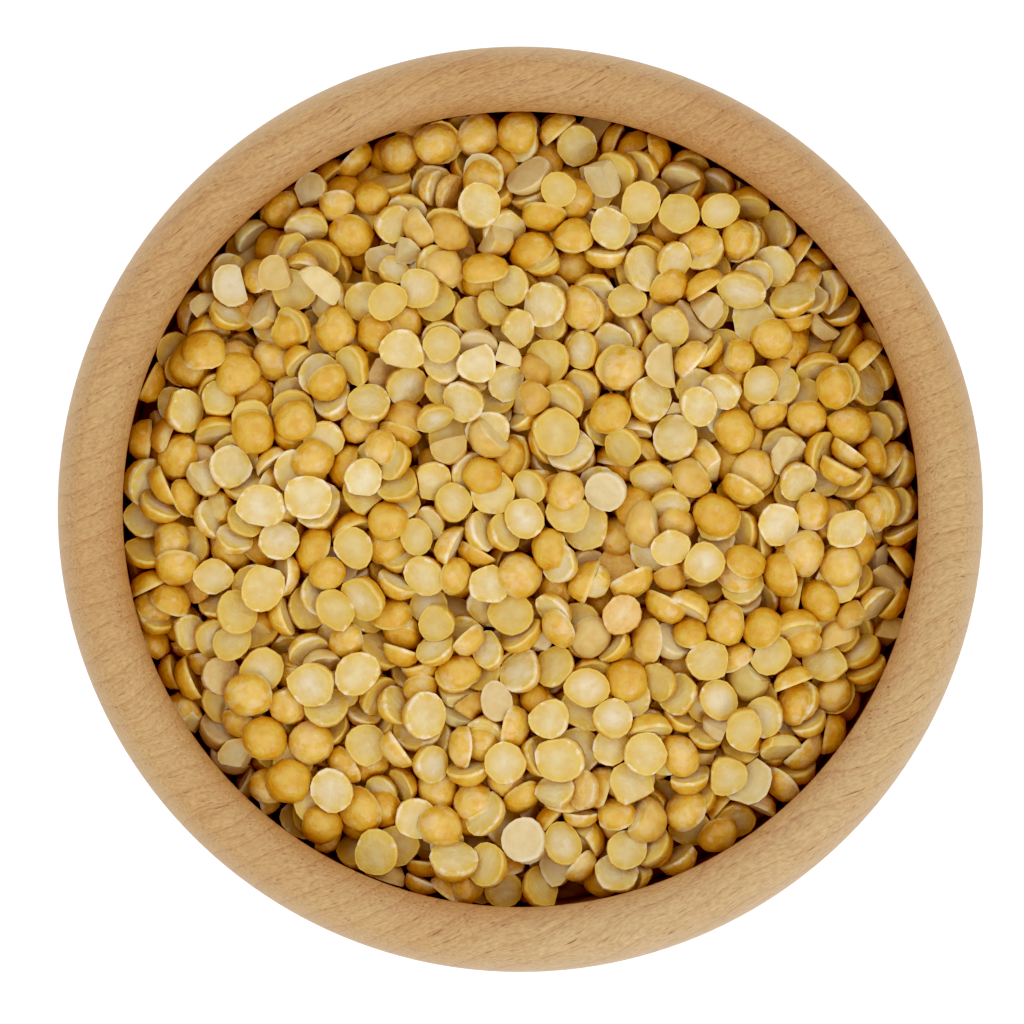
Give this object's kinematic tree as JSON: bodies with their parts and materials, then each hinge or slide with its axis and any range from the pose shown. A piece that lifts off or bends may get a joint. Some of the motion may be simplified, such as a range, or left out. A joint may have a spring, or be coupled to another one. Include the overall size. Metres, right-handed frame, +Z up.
{
  "type": "bowl of split peas",
  "caption": "Round turned wooden bowl with a thick rounded rim, filled close to the brim with a level heap of dry yellow split peas.",
  "frame": {"origin": "middle of the bowl's flat foot, on the surface it stands on", "axes": "+Z up through the middle of the mouth; +X to the right and +Y to the top of the picture, which looks straight down"},
  "size_m": [0.14, 0.14, 0.06],
  "materials": {
    "beech": "satin",
    "split_pea": "satin"
  },
  "bodies": {
    "root": {"bowl": "beech", "split_peas": "split_pea"}
  },
  "joints": []
}
